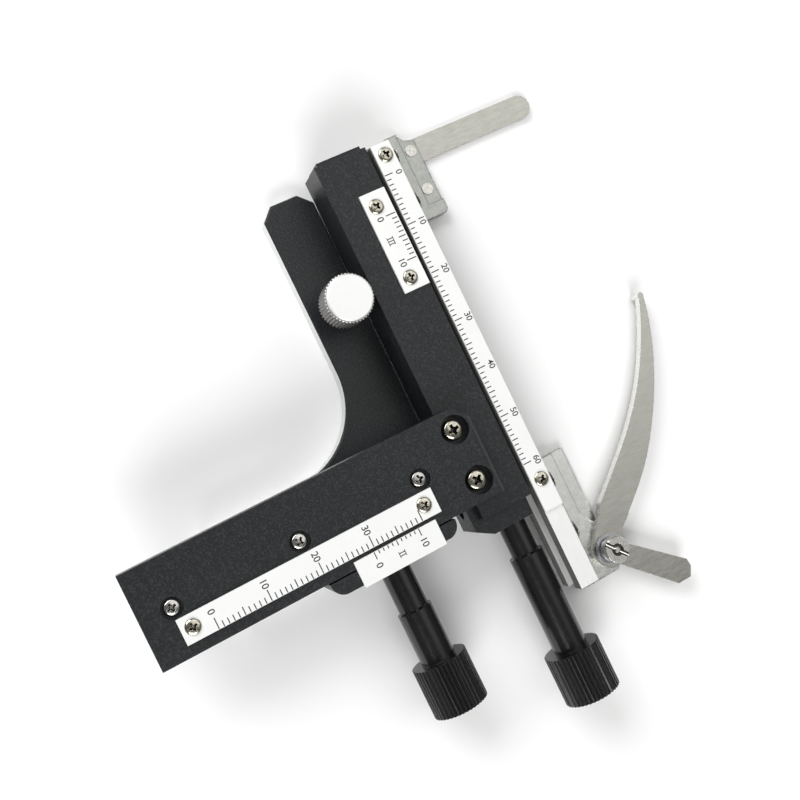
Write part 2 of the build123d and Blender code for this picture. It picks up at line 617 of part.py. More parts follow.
# Fixed finger: a flat L under the ledge, riveted to the bracket, with a rounded tip
with BuildPart() as slide_finger:
    with BuildSketch(Plane.XY.offset(HOLDER_Z0)) as finger_shape:
        with Locations((FINGER_X0 + FINGER_W / 2, datum_y + FINGER_LENGTH / 2)):
            Rectangle(FINGER_W, FINGER_LENGTH)
        fillet(finger_shape.vertices().group_by(Axis.Y)[-1], FINGER_W / 2 - 0.01)
        with Locations((FINGER_X0 + 6.8, datum_y - LEDGE_W / 2 - 0.3)):
            Rectangle(13.6, LEDGE_W + 0.6)
    extrude(amount=FINGER_T)
    with Locations(*[(x, y, HOLDER_Z0 + FINGER_T) for x, y in FINGER_RIVETS]):
        Hole(0.8)
slide_finger.part.label = "slide_finger"
export_step(slide_finger.part, "parts/slide_finger.step")

with BuildPart() as finger_rivets:
    headed_screws(FINGER_RIVETS, ledge_top, 1.2, 0.2, 0.8, ledge_top - HOLDER_Z0)
finger_rivets.part.label = "finger_rivets"
export_step(finger_rivets.part, "parts/finger_rivets.step")

# Bracket of the spring finger: longer foot, with a round boss under the pivot
clip_foot_x0 = 9.45
clip_foot_x1 = PIVOT_X + 4.8
with BuildPart() as clip_bracket:
    with BuildSketch(Plane.XY.offset(HOLDER_Z0)) as clip_foot:
        with Locations(((clip_foot_x0 + clip_foot_x1) / 2, (slider_y1 + datum_y) / 2)):
            Rectangle(clip_foot_x1 - clip_foot_x0, HOLDER_REACH)
        fillet(clip_foot.vertices().group_by(Axis.X)[-1], 0.8)
        with Locations((PIVOT_X, pivot_y)):
            Circle(HUB_R - 0.2)
    extrude(amount=FOOT_T)
    with BuildSketch(Plane.XY.offset(ledge_top)):
        with BuildLine():
            FilletPolyline(
                (clip_foot_x0 - 1, datum_y + 1),
                (clip_foot_x0 - 1, datum_y - LEDGE_W),
                (PIVOT_X - 8.5, datum_y - LEDGE_W),
                (PIVOT_X - 4.0, datum_y + 1),
                radius=[0.01, 5.0],
                close=False,
            )
            Line((PIVOT_X - 4.0, datum_y + 1), (clip_foot_x0 - 1, datum_y + 1))
        make_face()
    extrude(amount=LEDGE_DROP + 1, mode=Mode.SUBTRACT)
    box_between(clip_foot_x0, SLIDER_X1, slider_y1, flange_y1, HOLDER_Z0, HOLDER_Z0 + FLANGE_H)
    with Locations(*[Location((x, flange_y1, slider_z + 1.6), (90, 0, 0)) for x in HOLDER_SCREWS_X[2:]]):
        Cylinder(1.0, FLANGE_T, align=UP, mode=Mode.SUBTRACT)
        Cone(1.0, 1.9, 0.9, align=UP, mode=Mode.SUBTRACT, rotation=(180, 0, 0))
    with Locations((PIVOT_X, pivot_y, foot_top)):
        Cylinder(POST_R, FOOT_T, align=DOWN, mode=Mode.SUBTRACT)
clip_bracket.part.label = "clip_bracket"
export_step(clip_bracket.part, "parts/clip_bracket.step")

# Countersunk screws that hold the two brackets to the far face of the slider
with BuildPart() as holder_screws:
    with Locations(*[Location((x, flange_y1, slider_z + 1.6), (90, 0, 0)) for x in HOLDER_SCREWS_X]):
        Cylinder(1.0, FLANGE_T + 2.0, align=UP)
        Cone(1.0, 1.9, 0.9, align=UP, rotation=(180, 0, 0))
holder_screws.part.label = "holder_screws"
export_step(holder_screws.part, "parts/holder_screws.step")

# Pivot post of the spring finger, with a slotted cap
hub_top = ARM_TOP
washer_z = hub_top + 0.1
washer_t = 0.3
cap_z = washer_z + washer_t + 2.3
with BuildPart() as clip_post:
    with Locations((PIVOT_X, pivot_y, HOLDER_Z0)):
        Cylinder(POST_R, foot_top - HOLDER_Z0, align=UP)
    with Locations((PIVOT_X, pivot_y, foot_top)):
        Cylinder(PIN_R, washer_z - foot_top, align=UP)
    with Locations((PIVOT_X, pivot_y, washer_z)):
        Cylinder(POST_R, cap_z - washer_z, align=UP)
    with Locations((PIVOT_X, pivot_y, cap_z)):
        Cylinder(CAP_R, CAP_H, align=UP)
    chamfer(clip_post.faces().sort_by(Axis.Z)[-1].edges(), 0.2)
    with Locations(Location((PIVOT_X, pivot_y, cap_z + CAP_H), (0, 0, 35))):
        Box(2 * CAP_R + 1, 0.7, 1.0, mode=Mode.SUBTRACT)
clip_post.part.label = "clip_post"
export_step(clip_post.part, "parts/clip_post.step")

with BuildPart() as clip_washer:
    with Locations((PIVOT_X, pivot_y, washer_z)):
        Cylinder(HUB_R - 0.5, washer_t, align=UP)
        Cylinder(POST_R, washer_t, align=UP, mode=Mode.SUBTRACT)
clip_washer.part.label = "clip_washer"
export_step(clip_washer.part, "parts/clip_washer.step")

# Torsion spring wound around the post between the washer and the cap
spring_z0 = washer_z + washer_t + WIRE_R
spring_rise = cap_z - WIRE_R - spring_z0
spring_start = Vector(PIVOT_X + SPRING_R, pivot_y, spring_z0)
with BuildPart() as clip_spring:
    with BuildLine() as spring_path:
        Helix(spring_rise / 3, spring_rise, SPRING_R, center=(PIVOT_X, pivot_y, spring_z0))
    with BuildSketch(Plane(origin=spring_path.line @ 0, x_dir=(1, 0, 0), z_dir=spring_path.line % 0)):
        Rectangle(2 * WIRE_R, 2 * WIRE_R)
    sweep(path=spring_path.line, is_frenet=True)
clip_spring.part.label = "clip_spring"
export_step(clip_spring.part, "parts/clip_spring.step")


def finger_arm(inset):
    """Crescent arm of the spring finger, its inner edge moved outward by the inset."""
    dx = 0.45 * inset
    dy = 0.9 * inset
    inner = [(22.9, 44.8), (17.5, 51.3), (8.2, 61.0), (-4.9, 69.8), (-10.9, 72.5)]
    outer = [(-10.9, 73.6), (-2.9, 71.4), (5.7, 67.6), (13.1, 63.1), (20.5, 57.2), (25.6, 51.6), (29.8, 46.4)]
    with BuildSketch(Plane.XY) as crescent:
        with BuildLine():
            inner_edge = Spline(*[(x + dx, y + dy) for x, y in inner])
            tip = ThreePointArc(inner_edge @ 1, (-11.9 + dx / 2, 73.1 + dy / 2), outer[0])
            outer_edge = Spline(*outer)
            Line(outer_edge @ 1, inner_edge @ 0)
        make_face()
    return crescent.sketch


# Spring finger: hub, crescent arm with a deeper jaw under it, and the thumb lever
with BuildPart() as clip_finger:
    with BuildSketch(Plane.XY.offset(hub_z)) as hub_and_lever:
        with Locations((PIVOT_X, pivot_y)):
            Circle(HUB_R)
        with BuildLine():
            Polyline(
                (32.7, 46.4),
                (41.6, 56.8),
                (43.2, 57.0),
                (45.2, 55.9),
                (45.2, 52.9),
                (35.6, 43.0),
                (32.0, 42.6),
                close=True,
            )
        make_face()
        with BuildLine():
            Polyline((22.9, 44.8), (29.8, 46.4), (32.0, 46.4), (32.0, 38.9), (29.3, 39.9), close=True)
        make_face()
        with BuildLine():
            Polyline((22.9, 44.8), (29.8, 46.4), (27.5, 49.5), (20.5, 48.0), close=True)
        make_face()
    extrude(amount=hub_top - hub_z)
    extrude(finger_arm(0).moved(Location((0, 0, arm_z))), amount=ARM_T)
    extrude(finger_arm(0.7).moved(Location((0, 0, 0.6))), amount=arm_z - 0.6)
    box_between(15, 50, pivot_y - 8, datum_y + 0.4, 0, hub_z, mode=Mode.SUBTRACT)
    with Locations((PIVOT_X, pivot_y, hub_z)):
        Cylinder(HUB_R + 0.35, 6, align=DOWN, mode=Mode.SUBTRACT)
        Cylinder(PIN_R + RUN_GAP, 3, align=UP, mode=Mode.SUBTRACT)
clip_finger.part.label = "clip_finger"
export_step(clip_finger.part, "parts/clip_finger.step")

# Y drive: shaft, pinion and fluted knob
y_neck_x0 = y_tube_end + 0.3
y_knob_x0 = y_neck_x0 + 10.4
y_knob_x1 = y_knob_x0 + 9.8
with BuildPart() as y_drive_shaft:
    rod_along_x(FOOT_X0 + 1.5, y_knob_x1 - 1.2, 0, drive_z, SHAFT_R)
y_drive_shaft.part.label = "y_drive_shaft"
export_step(y_drive_shaft.part, "parts/y_drive_shaft.step")

pinion_root_r = pitch_r - 1.25 * GEAR_MODULE
pinion_tip_r = pitch_r + 0.9 * GEAR_MODULE
with BuildPart() as y_pinion:
    with BuildSketch(Plane.YZ.offset(-PINION_LENGTH / 2)):
        with Locations((0, drive_z)):
            Circle(pinion_root_r)
            with PolarLocations(0, PINION_TEETH, start_angle=90):
                with BuildLine(mode=Mode.PRIVATE) as pinion_tooth:
                    Polyline(
                        (pinion_root_r - 0.3, -TOOTH_HALF - 0.02),
                        (pitch_r, -TOOTH_HALF),
                        (pinion_tip_r, -TOOTH_HALF + 0.19),
                        (pinion_tip_r, TOOTH_HALF - 0.19),
                        (pitch_r, TOOTH_HALF),
                        (pinion_root_r - 0.3, TOOTH_HALF + 0.02),
                        close=True,
                    )
                add(make_face(pinion_tooth.line.edges(), mode=Mode.PRIVATE))
            Circle(SHAFT_R, mode=Mode.SUBTRACT)
    extrude(amount=PINION_LENGTH)
y_pinion.part.label = "y_pinion"
export_step(y_pinion.part, "parts/y_pinion.step")

with BuildPart() as y_knob:
    rod_along_x(y_neck_x0, y_knob_x0, 0, drive_z, KNOB_NECK_R)
    fluted_grip(y_knob_x0, y_knob_x1, 0, drive_z, Y_KNOB_R, KNOB_FLUTES)
    rod_along_x(y_neck_x0, y_knob_x1 - 1.2, 0, drive_z, SHAFT_R, mode=Mode.SUBTRACT)
y_knob.part.label = "y_knob"
export_step(y_knob.part, "parts/y_knob.step")

# X drive: lead screw with its journals, and fluted knob
x_neck_x0 = x_tube_end + 0.3
x_knob_x0 = x_neck_x0 + 20.2
x_knob_x1 = x_knob_x0 + 9.8
with BuildPart() as x_lead_screw:
    rod_along_x(X_BAR_X0 + 0.2, cavity_x0 + 0.1, lead_y, lead_z, 1.0)
    rod_along_x(cavity_x0 + 0.1, X_BAR_X1 - 0.3, lead_y, lead_z, LEAD_R)
    rod_along_x(X_BAR_X1 - 0.3, x_knob_x1 - 1.2, lead_y, lead_z, SHAFT_R)
x_lead_screw.part.label = "x_lead_screw"
export_step(x_lead_screw.part, "parts/x_lead_screw.step")

with BuildPart() as x_knob:
    rod_along_x(x_neck_x0, x_knob_x0, lead_y, lead_z, KNOB_NECK_R)
    fluted_grip(x_knob_x0, x_knob_x1, lead_y, lead_z, X_KNOB_R, KNOB_FLUTES)
    rod_along_x(x_neck_x0, x_knob_x1 - 1.2, lead_y, lead_z, SHAFT_R, mode=Mode.SUBTRACT)
x_knob.part.label = "x_knob"
export_step(x_knob.part, "parts/x_knob.step")

# Thumb screw that clamps the stage, backed out as in use for mounting, and its washer
with BuildPart() as clamp_washer:
    with Locations((CLAMP_X, CLAMP_Y, clamp_head_z - RUN_GAP)):
        Cylinder(CLAMP_WASHER_R, CLAMP_WASHER_T, align=DOWN)
        Cylinder(CLAMP_SHANK_R + RUN_GAP, CLAMP_WASHER_T, align=DOWN, mode=Mode.SUBTRACT)
clamp_washer.part.label = "clamp_washer"
export_step(clamp_washer.part, "parts/clamp_washer.step")

with BuildPart() as clamp_screw:
    with BuildSketch(Plane.XY.offset(clamp_head_z)):
        with Locations((CLAMP_X, CLAMP_Y)):
            Circle(CLAMP_HEAD_R)
            with PolarLocations(CLAMP_HEAD_R, CLAMP_FLUTES):
                RegularPolygon(FLUTE_R, 4, mode=Mode.SUBTRACT)
    extrude(amount=CLAMP_HEAD_H)
    with Locations((CLAMP_X, CLAMP_Y, clamp_head_z)):
        Cylinder(CLAMP_SHANK_R, clamp_head_z - 0.3, align=DOWN)
clamp_screw.part.label = "clamp_screw"
export_step(clamp_screw.part, "parts/clamp_screw.step")
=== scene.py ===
"""Looks of an attachable microscope stage: materials, printed scales, cross-recess screws, light and camera."""

import json
from math import cos, hypot, pi, radians, sin

import bmesh
import bpy
from mathutils import Matrix, Vector


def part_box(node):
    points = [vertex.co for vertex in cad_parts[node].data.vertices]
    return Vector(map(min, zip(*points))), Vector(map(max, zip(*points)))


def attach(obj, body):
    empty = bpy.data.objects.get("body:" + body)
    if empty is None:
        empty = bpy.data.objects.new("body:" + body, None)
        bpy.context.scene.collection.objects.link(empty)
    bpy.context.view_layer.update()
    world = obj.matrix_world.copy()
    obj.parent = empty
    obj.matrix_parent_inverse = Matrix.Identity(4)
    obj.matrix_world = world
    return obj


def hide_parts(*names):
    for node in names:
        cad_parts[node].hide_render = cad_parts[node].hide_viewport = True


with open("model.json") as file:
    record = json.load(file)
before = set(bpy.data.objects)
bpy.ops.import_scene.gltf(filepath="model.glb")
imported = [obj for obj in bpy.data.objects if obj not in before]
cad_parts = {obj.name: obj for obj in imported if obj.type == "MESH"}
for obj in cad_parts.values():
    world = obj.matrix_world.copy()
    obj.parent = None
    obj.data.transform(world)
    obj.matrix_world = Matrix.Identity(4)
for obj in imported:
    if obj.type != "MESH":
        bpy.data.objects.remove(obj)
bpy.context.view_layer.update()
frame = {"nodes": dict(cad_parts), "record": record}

MM = 0.001
NODES = frame["nodes"]
BODY_OF = {node: body for body, nodes in frame["record"]["behaviour"]["bodies"].items() for node in nodes}


class Look:
    """One node-based material, with short calls for its nodes."""

    def __init__(self, name):
        self.mat = bpy.data.materials.new(name)
        self.mat.use_nodes = True
        self.tree = self.mat.node_tree
        self.tree.nodes.clear()
        self.out = self.add("OutputMaterial")
        self.bsdf = self.add("BsdfPrincipled")
        self.tree.links.new(self.bsdf.outputs[0], self.out.inputs["Surface"])
        coords = self.add("TexCoord")
        self.place = self.add("VectorMath", operation="SCALE")
        self.tree.links.new(coords.outputs["Object"], self.place.inputs[0])
        self.place.inputs["Scale"].default_value = 1000.0

    def add(self, kind, **settings):
        node = self.tree.nodes.new("ShaderNode" + kind)
        for key, value in settings.items():
            setattr(node, key, value)
        return node

    def feed(self, node, socket, value):
        target = node.inputs[socket]
        if isinstance(value, bpy.types.NodeSocket):
            self.tree.links.new(value, target)
        else:
            target.default_value = value

    def noise(self, scale, detail=3.0, roughness=0.55, stretch=None, distortion=0.0):
        """Fine-grained noise; scale is in grains per millimetre."""
        source = self.place.outputs[0]
        if stretch:
            squeeze = self.add("VectorMath", operation="MULTIPLY")
            self.feed(squeeze, 0, source)
            self.feed(squeeze, 1, stretch)
            source = squeeze.outputs[0]
        node = self.add("TexNoise")
        self.feed(node, "Vector", source)
        self.feed(node, "Scale", scale)
        self.feed(node, "Detail", detail)
        self.feed(node, "Roughness", roughness)
        self.feed(node, "Distortion", distortion)
        return node.outputs["Fac"]

    def ramp(self, value, low, high, start=0.3, end=0.7):
        """A ramp of two colours, or of two greys."""
        node = self.add("ValToRGB")
        self.feed(node, "Fac", value)
        stops = node.color_ramp.elements
        for stop, place, shade in ((stops[0], start, low), (stops[1], end, high)):
            stop.position = place
            stop.color = (*shade, 1) if isinstance(shade, tuple) else (shade, shade, shade, 1)
        return node.outputs["Color"]

    def mix(self, factor, a, b):
        node = self.add("Mix", data_type="RGBA")
        self.feed(node, 0, factor)
        for index, value in ((6, a), (7, b)):
            self.feed(node, index, (*value, 1) if isinstance(value, tuple) else value)
        return node.outputs[2]

    def math(self, operation, a, b=0.5, clamp=False):
        node = self.add("Math", operation=operation, use_clamp=clamp)
        self.feed(node, 0, a)
        self.feed(node, 1, b)
        return node.outputs[0]

    def bump(self, height, strength, depth_mm, normal=None):
        node = self.add("Bump")
        self.feed(node, "Height", height)
        self.feed(node, "Strength", strength)
        self.feed(node, "Distance", depth_mm * MM)
        if normal is not None:
            self.feed(node, "Normal", normal)
        return node.outputs[0]

    def soft_edge(self, radius_mm):
        """Normals rounded over the edges, for the thin highlight that a broken edge has."""
        node = self.add("Bevel", samples=4)
        self.feed(node, "Radius", radius_mm * MM)
        return node.outputs[0]

    def edge_mask(self, rounded):
        """Near one along the edges and zero on the flats."""
        geometry = self.add("NewGeometry")
        node = self.add("VectorMath", operation="DOT_PRODUCT")
        self.feed(node, 0, rounded)
        self.feed(node, 1, geometry.outputs["Normal"])
        drop = self.math("SUBTRACT", 1.0, node.outputs["Value"])
        return self.math("MULTIPLY", drop, 6.0, clamp=True)

    def upright(self):
        """One on side faces and zero on faces that look up or down."""
        geometry = self.add("NewGeometry")
        split = self.add("SeparateXYZ")
        self.feed(split, 0, geometry.outputs["True Normal"])
        return self.math("LESS_THAN", self.math("ABSOLUTE", split.outputs["Z"]), 0.5)

    def finish(self, color, roughness, metallic=0.0, normal=None, **more):
        self.feed(self.bsdf, "Base Color", (*color, 1) if isinstance(color, tuple) else color)
        self.feed(self.bsdf, "Roughness", roughness)
        self.feed(self.bsdf, "Metallic", metallic)
        if normal is not None:
            self.feed(self.bsdf, "Normal", normal)
        for socket, value in more.items():
            self.feed(self.bsdf, socket.replace("_", " "), value)
        return self.mat


def black_paint(name, bare_sides=False):
    """Fine textured black paint, worn a little lighter along its edges."""
    look = Look(name)
    grain = look.noise(3.2, 4.0, 0.7)
    patches = look.noise(0.12, 2.0)
    fleck = look.ramp(look.noise(3.0, 3.0, 0.85), 0.0, 1.0, 0.50, 0.68)
    base = look.mix(patches, (0.0020, 0.0026, 0.0032), (0.0050, 0.0060, 0.0072))
    base = look.mix(look.math("MULTIPLY", fleck, 0.20), base, (0.16, 0.19, 0.21))
    rounded = look.soft_edge(0.16)
    edge = look.edge_mask(rounded)
    base = look.mix(look.math("MULTIPLY", edge, 0.30), base, (0.11, 0.12, 0.13))
    normal = look.bump(grain, 0.8, 0.05, rounded)
    rough = look.ramp(grain, 0.30, 0.46)
    metallic = 0.0
    if bare_sides:
        upright = look.upright()
        saw = look.noise(2.2, 3.0, 0.6, stretch=(1.0, 1.0, 9.0))
        bare = look.ramp(saw, (0.62, 0.63, 0.62), (0.82, 0.83, 0.82))
        base = look.mix(upright, base, bare)
        metallic = look.math("MULTIPLY", upright, 0.55)
    return look.finish(base, rough, metallic, normal, Specular_IOR_Level=0.5)


def dark_metal(name):
    """Blackened steel with faint machining lines."""
    look = Look(name)
    lines = look.noise(1.2, 3.0, 0.6, stretch=(0.3, 6.0, 6.0))
    base = look.ramp(lines, (0.020, 0.022, 0.026), (0.045, 0.048, 0.055))
    rounded = look.soft_edge(0.12)
    normal = look.bump(lines, 0.3, 0.02, rounded)
    return look.finish(base, look.ramp(lines, 0.32, 0.5), 0.6, normal)


def satin_plate(name):
    """Satin scale plate, nearly white, with a soft brushed drift."""
    look = Look(name)
    drift = look.noise(0.22, 2.0)
    hair = look.noise(2.0, 3.0, 0.6, stretch=(1.0, 6.0, 1.0))
    specks = look.ramp(look.noise(3.5, 2.0, 0.6), 0.0, 1.0, 0.68, 0.78)
    base = look.mix(drift, (0.86, 0.865, 0.85), (0.93, 0.935, 0.925))
    base = look.mix(look.math("MULTIPLY", specks, 0.20), base, (0.66, 0.67, 0.64))
    normal = look.bump(hair, 0.12, 0.01, look.soft_edge(0.08))
    return look.finish(base, look.ramp(hair, 0.34, 0.48), 0.2, normal)


def bright_metal(
    name, low, high, rough_low, rough_high, grain, stretch=None, depth=0.01, edge=0.1, side_tone_and_painted_light=None, metallic=1.0
):
    """Bare metal with its own grain: polished, turned, brushed or cast; upright faces take another colour if given:
    real black paint on the slider, painted shade on the cast holders and the thumb screw, and a painted reflection
    on the fingers.
    """
    look = Look(name)
    lines = look.noise(grain, 4.0, 0.6, stretch=stretch)
    cloud = look.noise(0.35, 2.0)
    base = look.mix(look.ramp(lines, 0.0, 1.0), low, high)
    base = look.mix(look.math("MULTIPLY", look.ramp(cloud, 0.0, 1.0, 0.45, 0.75), 0.22), base, low)
    # Upright faces recoloured: real black paint on the slider, painted shade on the cast holders and thumb screw, a
    # painted reflection on the fingers.
    if side_tone_and_painted_light:
        base = look.mix(look.upright(), base, side_tone_and_painted_light)
    normal = look.bump(lines, 0.35, depth, look.soft_edge(edge))
    return look.finish(base, look.ramp(lines, rough_low, rough_high), metallic, normal)


def gloss_plastic(name):
    """Moulded glossy black plastic with faint handling marks."""
    look = Look(name)
    swirl = look.noise(0.9, 3.0, 0.6)
    scratches = look.noise(3.0, 3.0, 0.7, stretch=(0.25, 3.0, 3.0))
    base = look.mix(swirl, (0.0045, 0.0045, 0.005), (0.009, 0.009, 0.0095))
    rounded = look.soft_edge(0.18)
    normal = look.bump(scratches, 0.10, 0.01, rounded)
    return look.finish(base, look.ramp(scratches, 0.16, 0.30), 0.0, normal, Coat_Weight=0.25, Coat_Roughness=0.12)


def ink(name):
    """Printed black, slightly uneven."""
    look = Look(name)
    uneven = look.noise(4.0, 2.0)
    base = look.mix(uneven, (0.012, 0.012, 0.012), (0.035, 0.035, 0.034))
    return look.finish(base, look.ramp(uneven, 0.45, 0.6))


LOOKS = {
    "paint": black_paint("black_textured_paint"),
    "base_paint": black_paint("black_paint_bare_sides", bare_sides=True),
    "dark": dark_metal("blackened_steel"),
    "plate": satin_plate("satin_scale_plate"),
    "screw": bright_metal("screw_nickel", (0.50, 0.49, 0.45), (0.80, 0.79, 0.75), 0.14, 0.28, 2.4),
    "screw_warm": bright_metal("screw_zinc_warm", (0.46, 0.43, 0.34), (0.80, 0.77, 0.66), 0.13, 0.26, 2.4),
    # Cast metal of the clip bracket; its darker upright sides are painted shade.
    "cast": bright_metal(
        "cast_holder", (0.60, 0.61, 0.58), (0.86, 0.87, 0.84), 0.20, 0.38, 1.0,
        depth=0.02, edge=0.35, side_tone_and_painted_light=(0.42, 0.42, 0.40),
    ),
    # A darker copy of the cast holder metal for the fixed finger's bracket: painted shade over the whole bracket.
    "cast_painted_shade": bright_metal(
        "cast_holder_painted_shade", (0.34, 0.35, 0.33), (0.52, 0.53, 0.50), 0.20, 0.38, 1.0,
        depth=0.02, edge=0.35, side_tone_and_painted_light=(0.34, 0.34, 0.32),
    ),
    # Brushed steel of both fingers; the much lighter upright sides are a painted reflection.
    "finger": bright_metal(
        "brushed_finger", (0.43, 0.43, 0.39), (0.57, 0.56, 0.51), 0.22, 0.34, 0.9,
        stretch=(1.6, 0.4, 1.0), depth=0.006, side_tone_and_painted_light=(0.80, 0.80, 0.77),
    ),
    "turned": bright_metal(
        "turned_steel", (0.45, 0.46, 0.47), (0.66, 0.67, 0.68), 0.22, 0.4, 2.0, stretch=(4.0, 0.6, 0.6)
    ),
    "slider": bright_metal(
        "slider_steel", (0.86, 0.86, 0.85), (0.94, 0.94, 0.93), 0.34, 0.48, 1.4,
        stretch=(0.25, 4.0, 4.0), side_tone_and_painted_light=(0.16, 0.155, 0.15), metallic=0.35,
    ),
    "brass": bright_metal("drive_brass", (0.55, 0.40, 0.16), (0.80, 0.62, 0.30), 0.22, 0.38, 2.0),
    # Nickel thumb screw; the near-black knurled sides are painted shade.
    "thumb": bright_metal(
        "thumb_screw_nickel", (0.93, 0.93, 0.92), (0.97, 0.97, 0.96), 0.30, 0.38, 0.6,
        depth=0.001, edge=0.25, side_tone_and_painted_light=(0.13, 0.125, 0.115), metallic=0.7,
    ),
    # Dark metal for the insides of recesses: painted shade.
    "recess": bright_metal("screw_recess_painted_shade", (0.05, 0.048, 0.042), (0.12, 0.115, 0.10), 0.3, 0.5, 2.4),
    "knob": gloss_plastic("black_gloss_plastic"),
    "ink": ink("printed_black"),
}

LOOK_OF_NODE = {
    "base_plate": "base_paint", "y_guide_block": "paint", "guide_screws": "screw", "y_bearing_tube": "knob",
    "vernier_y": "plate", "y_bar": "paint", "y_rail": "turned", "y_rack": "turned", "y_rail_screws": "screw",
    "y_scale": "plate", "y_scale_screws": "screw_warm", "cross_screws": "screw_warm", "x_bar": "paint",
    "x_rail": "turned", "x_bar_cover": "dark", "x_end_cap": "dark", "x_end_bush": "brass", "vernier_x": "plate",
    "vernier_x_screws": "screw_warm", "x_bearing_bracket": "paint", "bracket_grub_screw": "dark",
    "x_bearing_tube": "knob", "slider": "slider", "x_scale": "plate", "x_scale_screws": "screw_warm",
    "x_drive_nut": "brass", "finger_bracket": "cast_painted_shade", "slide_finger": "finger", "finger_rivets": "screw",
    "clip_bracket": "cast", "holder_screws": "screw", "clip_post": "screw", "clip_washer": "turned",
    "clip_spring": "turned", "clip_finger": "finger", "y_drive_shaft": "turned", "y_pinion": "brass",
    "y_knob": "knob", "x_lead_screw": "turned", "x_knob": "knob", "clamp_washer": "turned", "clamp_screw": "thumb",
}
for node, look in LOOK_OF_NODE.items():
    mesh = NODES[node].data
    mesh.materials.clear()
    mesh.materials.append(LOOKS[look])


def add_piece(name, mesh, look, body):
    """A new piece of the object, finished, riding on its body."""
    piece = bpy.data.objects.new(name, mesh)
    bpy.context.scene.collection.objects.link(piece)
    mesh.materials.clear()
    mesh.materials.append(LOOKS[look])
    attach(piece, body)
    return piece


def mesh_from(bm, name):
    """Turns the finished bmesh into a mesh."""
    mesh = bpy.data.meshes.new(name)
    bm.to_mesh(mesh)
    bm.free()
    return mesh


def smooth_but_sharp(mesh, degrees):
    """Smooth shading, with edges over the angle kept sharp."""
    mesh.shade_smooth()
    mesh.set_sharp_from_angle(angle=radians(degrees))


SHARP_DEGREES = 38
KNURL_SHARP_DEGREES = 30
INK_SINK = 0.03
INK_RISE = 0.012
SIZE_PER_HEIGHT = 1.52
NUMERAL_BOLDNESS = 0.016
NUMERAL_SPACING = 0.98


def printed_box(bm, x0, x1, y0, y1, z):
    """A thin raised line of ink, limits in millimetres."""
    matrix = Matrix.LocRotScale(
        Vector(((x0 + x1) / 2, (y0 + y1) / 2, z + (INK_RISE - INK_SINK) / 2)) * MM,
        None,
        Vector((x1 - x0, y1 - y0, INK_RISE + INK_SINK)) * MM,
    )
    bmesh.ops.create_cube(bm, size=1.0, matrix=matrix)


def printed_text(bm, words, x, y, z, height):
    """Numerals of a height in millimetres centred on a point, reading along +X, as thin raised ink."""
    curve = bpy.data.curves.new("numeral", "FONT")
    curve.body = words
    curve.align_x = "CENTER"
    curve.align_y = "CENTER"
    curve.size = height * SIZE_PER_HEIGHT * MM
    curve.extrude = INK_RISE * MM
    curve.offset = NUMERAL_BOLDNESS * MM
    curve.space_character = NUMERAL_SPACING
    holder = bpy.data.objects.new("numeral", curve)
    mesh = bpy.data.meshes.new_from_object(holder)
    mesh.transform(Matrix.Translation(Vector((x, y, z)) * MM))
    bm.from_mesh(mesh)
    bpy.data.objects.remove(holder)
    bpy.data.meshes.remove(mesh)


def printed_roman(bm, strokes, x, y, z):
    """A roman numeral of upright strokes between two long serifs."""
    step, height, serif, line = 0.52, 1.15, 0.14, 0.17
    half = (strokes - 1) * step / 2
    for k in range(strokes):
        centre = x - half + k * step
        printed_box(bm, centre - line / 2, centre + line / 2, y - height / 2, y + height / 2, z)
    for side in (-1, 1):
        edge = y + side * height / 2
        printed_box(bm, x - half - 0.3, x + half + 0.3, edge - serif / 2, edge + serif / 2, z)


def print_piece(name, node, marks):
    """One printed scale: marks(bm) draws it, and the ink rides with its plate."""
    bm = bmesh.new()
    marks(bm)
    add_piece(name, mesh_from(bm, name), "ink", BODY_OF[node])


def tick_length(index, short, middle, long):
    """Tick length by tens, fives and ones."""
    if index % 10 == 0:
        return long
    return middle if index % 5 == 0 else short


X_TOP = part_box("x_scale")[1][2] / MM
Y_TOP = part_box("y_scale")[1][2] / MM
XV_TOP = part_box("vernier_x")[1][2] / MM
YV_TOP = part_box("vernier_y")[1][2] / MM
X_ZERO, Y_ZERO = -53.0, -33.55
XV_ZERO, YV_ZERO = -46.1, -4.0
VERNIER_STEP = 0.91
LINE_W = 0.19
X_TICKS, Y_TICKS = (0.95, 1.25, 1.65), (1.1, 1.5, 2.1)
XV_TICKS, YV_TICKS = (1.05, 1.5, 1.95), (0.6, 0.95, 1.35)
X_NUMERAL_H, NUMERAL_H = 1.15, 1.2
X_NUMERALS_Y, Y_NUMERALS_X = 32.58, 3.6


def x_scale_marks(bm):
    """Lines 0 to 60 of the X scale and its numerals by tens."""
    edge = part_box("x_scale")[0][1] / MM + 0.12
    for k in range(61):
        x = X_ZERO + k
        printed_box(bm, x - LINE_W / 2, x + LINE_W / 2, edge, edge + tick_length(k, *X_TICKS), X_TOP)
        if k % 10 == 0:
            printed_text(bm, str(k), x + 0.25, X_NUMERALS_Y, X_TOP, X_NUMERAL_H)


def y_scale_marks(bm):
    """Lines 0 to 40 of the Y scale and its numerals by tens, the last one left off."""
    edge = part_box("y_scale")[1][0] / MM - 0.08
    for k in range(41):
        y = Y_ZERO + k
        printed_box(bm, edge - tick_length(k, *Y_TICKS), edge, y - LINE_W / 2, y + LINE_W / 2, Y_TOP)
        if k % 10 == 0 and k < 40:
            printed_text(bm, str(k), Y_NUMERALS_X, y - 0.05, Y_TOP, NUMERAL_H)


